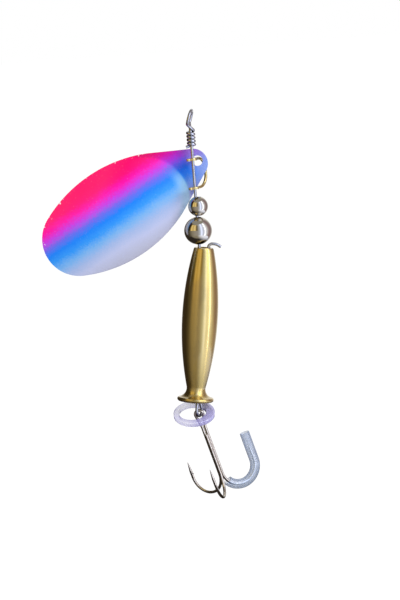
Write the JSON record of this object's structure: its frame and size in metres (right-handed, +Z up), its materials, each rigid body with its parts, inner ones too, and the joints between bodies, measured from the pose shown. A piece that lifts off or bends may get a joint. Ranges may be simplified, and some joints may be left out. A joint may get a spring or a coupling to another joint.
{
  "type": "inline spinner",
  "caption": "Inline fishing spinner: wire shaft with a wrapped line eye, domed blade on a clevis, round beads, turned brass body and a treble hook.",
  "frame": {"origin": "centre of the line eye", "axes": "+Z up along the shaft, +X to the right of the picture, the blade's painted face towards -Y"},
  "size_m": [0.0501, 0.0164, 0.0978],
  "materials": {
    "stainless_wire": "bright drawn wire",
    "clevis_brass": "bright brass wire",
    "blade_paint": "gloss paint graded from pink through violet and blue to pale lavender",
    "bead_nickel": "mirror plating",
    "body_brass": "satin turned brass",
    "hook_nickel": "bright plating",
    "braze_nickel": "plated over",
    "ring_vinyl": "clear violet soft vinyl",
    "tube_vinyl": "clear soft vinyl"
  },
  "bodies": {
    "shaft": {"wire_shaft": "stainless_wire"},
    "clevis": {"clevis": "clevis_brass"},
    "blade": {"blade": "blade_paint"},
    "small_bead": {"small_bead": "bead_nickel"},
    "large_bead": {"large_bead": "bead_nickel"},
    "body": {"body": "body_brass"},
    "hook": {"treble_double": "hook_nickel", "treble_third": "hook_nickel", "shank_braze": "braze_nickel", "hook_tube": "tube_vinyl"},
    "ring": {"hook_ring": "ring_vinyl"}
  },
  "joints": [
    {"name": "clevis_spin", "type": "hinge", "parent": "shaft", "child": "clevis", "pos_m": [0, 0, -0.01024], "axis": [0, 0, 1], "continuous": true},
    {"name": "blade_swing", "type": "hinge", "parent": "clevis", "child": "blade", "pos_m": [0.00117, 0.0024, -0.01082], "axis": [0, 1, 0], "range_deg": [0, 60]},
    {"name": "small_bead_spin", "type": "hinge", "parent": "shaft", "child": "small_bead", "pos_m": [0.00044, 0, -0.02202], "axis": [0, 0, 1], "continuous": true},
    {"name": "large_bead_spin", "type": "hinge", "parent": "shaft", "child": "large_bead", "pos_m": [0, 0, -0.0281], "axis": [0, 0, 1], "continuous": true},
    {"name": "body_spin", "type": "hinge", "parent": "shaft", "child": "body", "pos_m": [0.00112, 0, -0.03245], "axis": [0.1305, 0, 0.9914], "continuous": true},
    {"name": "hook_swing", "type": "hinge", "parent": "shaft", "child": "hook", "pos_m": [-0.00315, 0, -0.07463], "axis": [0.5, 0.866, 0], "range_deg": [-30, 45]},
    {"name": "ring_turn", "type": "hinge", "parent": "shaft", "child": "ring", "pos_m": [-0.00486, 0, -0.07405], "axis": [0, -0.4226, 0.9063], "continuous": true}
  ]
}
